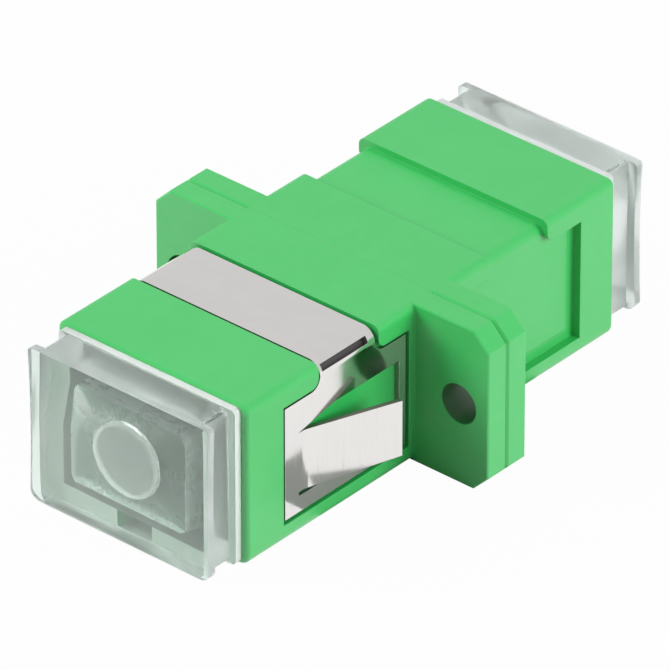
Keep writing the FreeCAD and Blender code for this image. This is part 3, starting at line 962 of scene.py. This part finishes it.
    def finish_of(self, centre: Vector, normal: Vector) -> Finish:
        """Tell which finish a face has.

        Args:
            centre: the face's centre in millimetres.
            normal: the face's normal.

        Returns:
            The finish.
        """
        across, up = abs(centre.x), abs(centre.z)
        above = up > self.plate_height / 2 - TOUCH
        if centre.y < self.plate_end - TOUCH:
            beside = across > self.plate_width / 2 - self.waist - self.edge
            return Finish.CAP_HAZE if beside or up > self.plate_height / 2 - self.edge else Finish.CAP
        if centre.y < self.neck_end - TOUCH:
            if across > self.neck_width / 2 - self.edge or above:
                return Finish.CAP_HAZE
            if not near(centre.y, self.eye_floor) or normal.y < NEARLY_SQUARE:
                return Finish.CAP
            return Finish.CAP_EYE if math.hypot(centre.x, centre.z) < TOUCH else Finish.CAP_RIM
        if centre.y < self.bearing - TOUCH:
            outside = across > self.neck_width / 2 - TOUCH or above
            return Finish.CAP_RIM if outside else Finish.CAP
        if centre.y < self.bearing + self.edge:
            at_key = across < self.key_width / 2 and centre.z < 0
            return Finish.CAP if at_key else Finish.CAP_RIM
        outside = across > self.plug_width / 2 - self.edge or up > self.plug_height / 2 - self.edge
        return Finish.CAP_RIM if outside else Finish.CAP

    def dress(self, cap: bpy.types.Object) -> None:
        """Make the cap clear, hazy at its neck and rim, and frosted at its collar and plug.

        Args:
            cap: the cap.
        """
        finishes = (Finish.CAP, Finish.CAP_HAZE, Finish.CAP_EYE, Finish.CAP_RIM)
        cap.data.materials.clear()
        for finish in finishes:
            cap.data.materials.append(finish.material())
        for face in cap.data.polygons:
            face.material_index = finishes.index(self.finish_of(face.center / MM, face.normal))


@dataclass(frozen=True)
class DustCaps:
    """The two caps: one mesh modelled for the front port, and a copy turned round for the rear."""

    half_turn: float = math.pi

    def make(self) -> None:
        """Model the caps, dress them and hand each to its body."""
        low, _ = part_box("front_dust_cap")
        front = DustCap(front=low.y / MM).build()
        rear = front.copy()
        rear.data = front.data.copy()
        bpy.context.scene.collection.objects.link(rear)
        rear.data.transform(Matrix.Rotation(self.half_turn, 4, "Z"))
        for cap, side in ((front, Side.FRONT), (rear, Side.REAR)):
            cap.name = f"{side.value}_clear_cap"
            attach(cap, f"{side.value}_cap")
            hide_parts(f"{side.value}_dust_cap")
            LOG.info("%s: %d faces", cap.name, len(cap.data.polygons))


# ---------------------------------------------------------------- studio


@dataclass(frozen=True)
class Softbox:
    """A square lamp. Its place and size are in metres, its power in watts."""

    name: str
    place: Point
    size: float
    power: float

    def hang(self, aim: Vector) -> None:
        """Place the lamp and turn it to the object.

        Args:
            aim: the point that it faces.
        """
        data = bpy.data.lights.new(self.name, "AREA")
        data.shape = "SQUARE"
        data.size = self.size
        data.energy = self.power
        lamp = bpy.data.objects.new(self.name, data)
        lamp.location = self.place
        lamp.visible_glossy = False
        lamp.rotation_mode = "QUATERNION"
        lamp.rotation_quaternion = (aim - lamp.location).to_track_quat("-Z", "Y")
        bpy.context.scene.collection.objects.link(lamp)


@dataclass(frozen=True)
class Studio:
    """A white table top under soft light, in an even white surround, its glow left out round the object as
    painted shadow. Lengths are in metres.
    """

    surround: float = 0.15
    mirrored: float = 0.73
    floor_size: float = 3.0
    floor_colour: Colour = (0.55, 0.55, 0.55, 1)
    floor_glow: float = 0.975
    # painted shadow: the floor's glow is left out under the object's footprint, where its lit shading shows,
    # and for reflections in a wider box beside it
    shadow_footprint: tuple[float, float] = (0.0056, 0.0142)
    shade: tuple[float, float] = (0.0112, 0.0085)
    lamps: tuple[Softbox, ...] = (
        Softbox("lamp_above", (0.0, 0.0, 0.45), 0.30, 0.3),
        Softbox("lamp_right", (0.40, 0.12, 0.16), 0.26, 1.75),
        Softbox("lamp_left", (-0.28, -0.26, 0.24), 0.26, 1.85),
    )

    def seen_directly(self, graph: Graph, path: bpy.types.NodeOutputs) -> Socket:
        """Tell what the camera, a reflection or clear plastic shows from what lights the object.

        Args:
            graph: the graph of the floor or the world.
            path: the outputs of its Light Path node.

        Returns:
            The output that holds 1 for what is shown, and 0 for what lights.
        """
        mirrored = graph.times(path["Is Glossy Ray"], graph.below(path["Diffuse Depth"], NO_BOUNCE))
        return graph.larger(graph.larger(path["Is Camera Ray"], mirrored), path["Is Transmission Ray"])

    def raise_surround(self) -> None:
        """Fill the world with white, brighter where it is seen than where it lights."""
        world = bpy.data.worlds.new("surround")
        world.use_nodes = True
        bpy.context.scene.world = world
        graph = Graph(world.node_tree)
        path = graph.add("ShaderNodeLightPath").outputs
        level = graph.spread(self.seen_directly(graph, path), 0.0, 1.0, self.surround, self.mirrored)
        level = graph.larger(level, path["Is Camera Ray"])
        light = graph.add("ShaderNodeBackground", {"Color": WHITE, "Strength": level})
        graph.add("ShaderNodeOutputWorld", {"Surface": light.outputs["Background"]})

    def lay_floor(self, height: float) -> None:
        """Lay the table top.

        Args:
            height: the level that the object stands on, in metres.
        """
        bpy.ops.object.select_all(action="DESELECT")
        bpy.ops.mesh.primitive_plane_add(size=self.floor_size, location=(0, 0, height))
        floor = bpy.context.object
        floor.name = "table_top"
        graph = MaterialGraph("pale_table_top")
        paper = graph.add("ShaderNodeBsdfDiffuse", {"Color": self.floor_colour}).outputs["BSDF"]
        glow = graph.add("ShaderNodeEmission", {"Color": WHITE, "Strength": 1.0}).outputs["Emission"]
        path = graph.add("ShaderNodeLightPath").outputs
        # leave the glow out round the object: a painted contact shadow, and painted shade in reflections
        outside_painted_shadow = self.clear_of_object(graph, self.shadow_footprint)
        outside_reflected_shade = graph.larger(self.clear_of_object(graph, self.shade), path["Is Camera Ray"])
        share = graph.times(self.seen_directly(graph, path), self.floor_glow)
        share = graph.times(share, graph.times(outside_painted_shadow, outside_reflected_shade))
        mixed = graph.add("ShaderNodeMixShader", {0: share, 1: paper, 2: glow})
        floor.data.materials.append(graph.close(mixed.outputs["Shader"]))
        floor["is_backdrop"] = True

    def clear_of_object(self, graph: Graph, reach: tuple[float, float]) -> Socket:
        """Mask the floor that lies beside its middle, outside the box of painted shadow.

        Args:
            graph: the graph of the floor's material.
            reach: how far the middle reaches across and along the axis.

        Returns:
            The output that holds 0 in the middle, and 1 beside it.
        """
        where = graph.split(graph.place())
        beside = graph.above(graph.unsigned(where["X"]), reach[0])
        beyond = graph.above(graph.unsigned(where["Y"]), reach[1])
        return graph.larger(beside, beyond)

    def set_up(self) -> None:
        """Lay the floor, raise the surround and hang the lamps."""
        low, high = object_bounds()
        self.raise_surround()
        self.lay_floor(low.z)
        for lamp in self.lamps:
            lamp.hang((low + high) / 2)


@dataclass(frozen=True)
class Viewpoint:
    """Where the camera stands. Angles are in degrees, lengths in metres, the lens in millimetres."""

    azimuth: float = 40.84
    elevation: float = 32.66
    distance: float = 0.5669
    lens: float = 598.0
    target: Point = (-0.00003, -0.00033, -0.00029)

    def stand(self) -> None:
        """Place the camera and make it the scene's own."""
        turn = math.radians(self.azimuth)
        rise = math.radians(self.elevation)
        back = Vector((math.sin(turn) * math.cos(rise), -math.cos(turn) * math.cos(rise), math.sin(rise)))
        data = bpy.data.cameras.new("camera")
        data.lens = self.lens
        camera = bpy.data.objects.new("camera", data)
        camera.location = Vector(self.target) + back * self.distance
        camera.rotation_mode = "QUATERNION"
        camera.rotation_quaternion = (-back).to_track_quat("-Z", "Y")
        bpy.context.scene.collection.objects.link(camera)
        bpy.context.scene.camera = camera


def main() -> None:
    """Build the scene round the fixed frame."""
    logging.basicConfig(level=logging.INFO, format="%(name)s %(message)s")
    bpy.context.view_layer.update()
    Viewpoint().stand()
    Studio().set_up()
    for pieces in (
        SolidPieces(("front_housing", "rear_housing"), Finish.HOUSING),
        SolidPieces(("front_latch_holder", "rear_latch_holder"), Finish.HOLDER),
        SolidPieces(("split_sleeve",), Finish.SLEEVE),
        SolidPieces(("panel_clip",), Finish.CLIP),
        DustCaps(),
    ):
        pieces.make()
    bpy.context.scene.view_settings.view_transform = "Standard"


if __name__ == "__main__":
    main()
